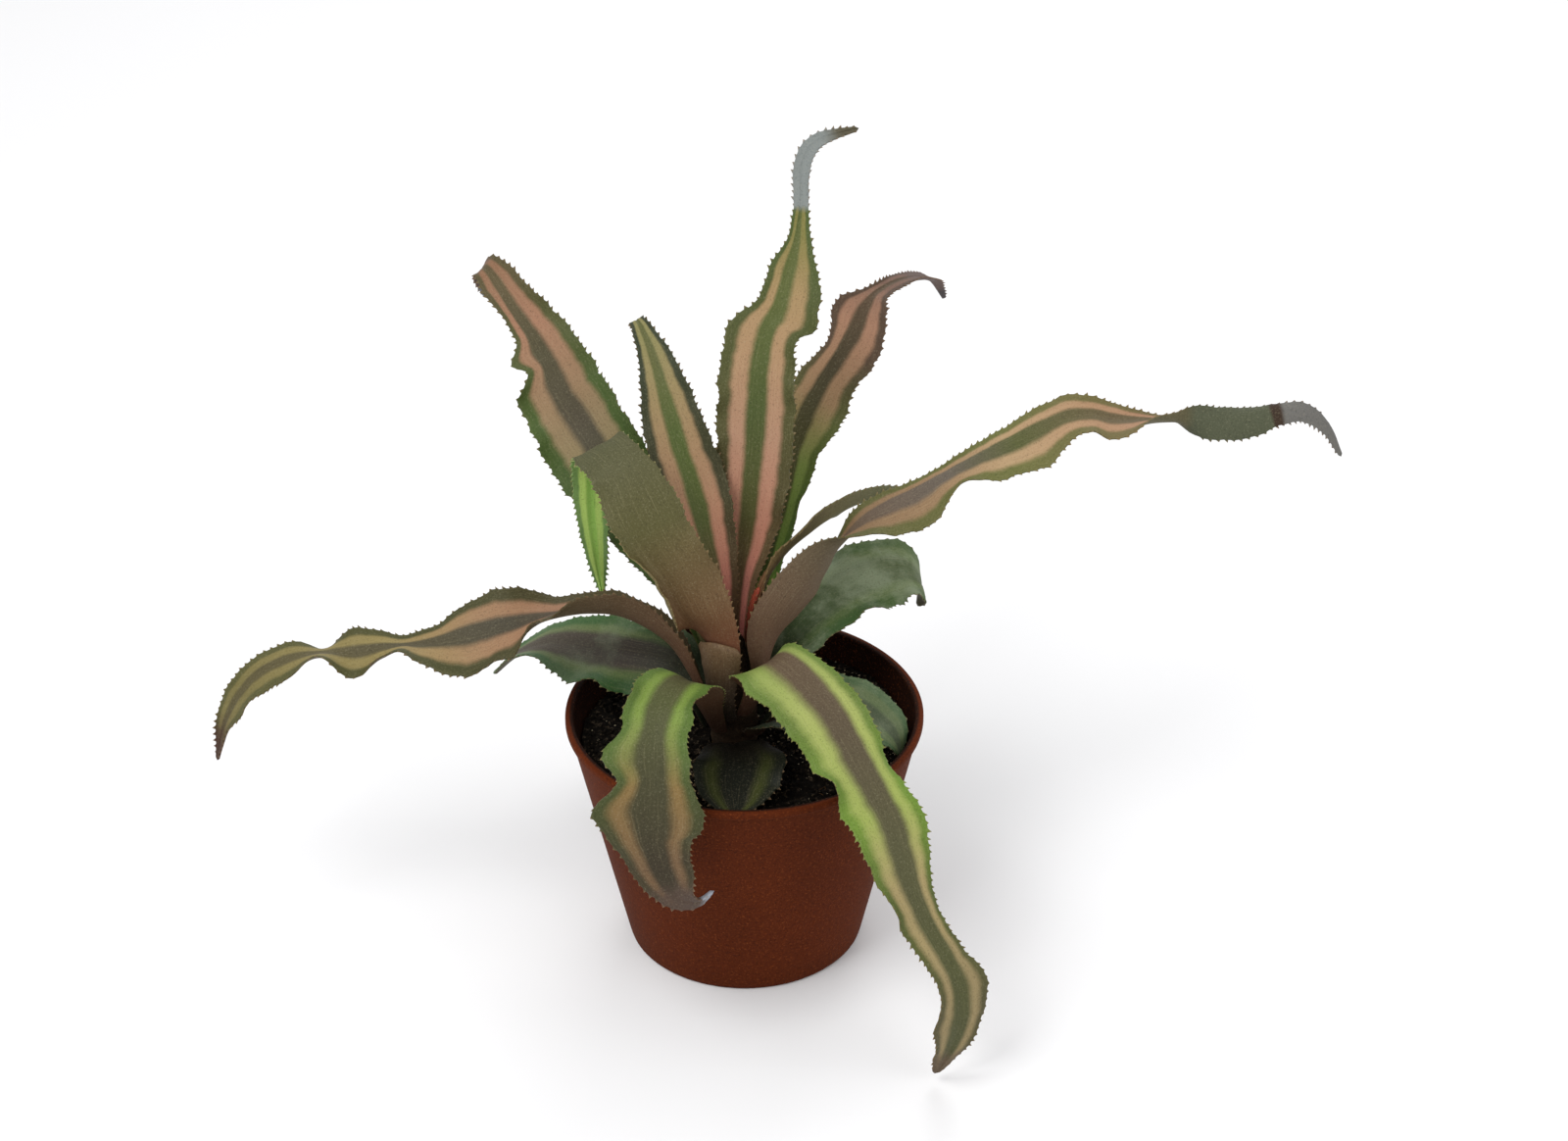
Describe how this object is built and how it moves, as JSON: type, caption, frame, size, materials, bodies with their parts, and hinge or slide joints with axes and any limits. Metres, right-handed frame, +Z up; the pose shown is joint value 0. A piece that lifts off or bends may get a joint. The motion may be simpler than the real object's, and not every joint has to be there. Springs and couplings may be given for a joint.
{
  "type": "earth star bromeliad in a small plastic pot",
  "caption": "Earth star bromeliad: a rosette of long, ruffled, striped, spiny-edged leaves on a short stem, in a small tapered terracotta-coloured plastic pot of soil.",
  "frame": {"origin": "middle of the pot's underside, on the surface that the pot stands on", "axes": "+Z up along the pot's axis, +X towards the long leaf that reaches right, -Y towards the side that the picture shows, where two leaves hang over the rim"},
  "size_m": [0.3282, 0.1947, 0.2335],
  "materials": {
    "pot_plastic": "matte",
    "potting_soil": "matte",
    "stem": "matte",
    "leaf_striped": "satin",
    "leaf_green": "satin",
    "leaf_young": "satin"
  },
  "bodies": {
    "root": {"pot": "pot_plastic", "soil": "potting_soil", "stem": "stem", "leaf_long_left": "leaf_striped", "leaf_long_right": "leaf_striped", "leaf_back_left": "leaf_striped", "leaf_slim_upright": "leaf_striped", "leaf_tall_centre": "leaf_striped", "leaf_back_right": "leaf_striped", "leaf_edge_on": "leaf_striped", "leaf_arched": "leaf_striped", "leaf_front_left": "leaf_green", "leaf_front_right": "leaf_green", "leaf_low_left": "leaf_green", "leaf_low_right": "leaf_green", "leaf_low_back": "leaf_green", "leaf_low_front_right": "leaf_green", "leaf_on_soil_front": "leaf_green", "leaf_small_front": "leaf_green", "leaf_short_front": "leaf_striped", "leaf_heart": "leaf_young"}
  },
  "joints": []
}
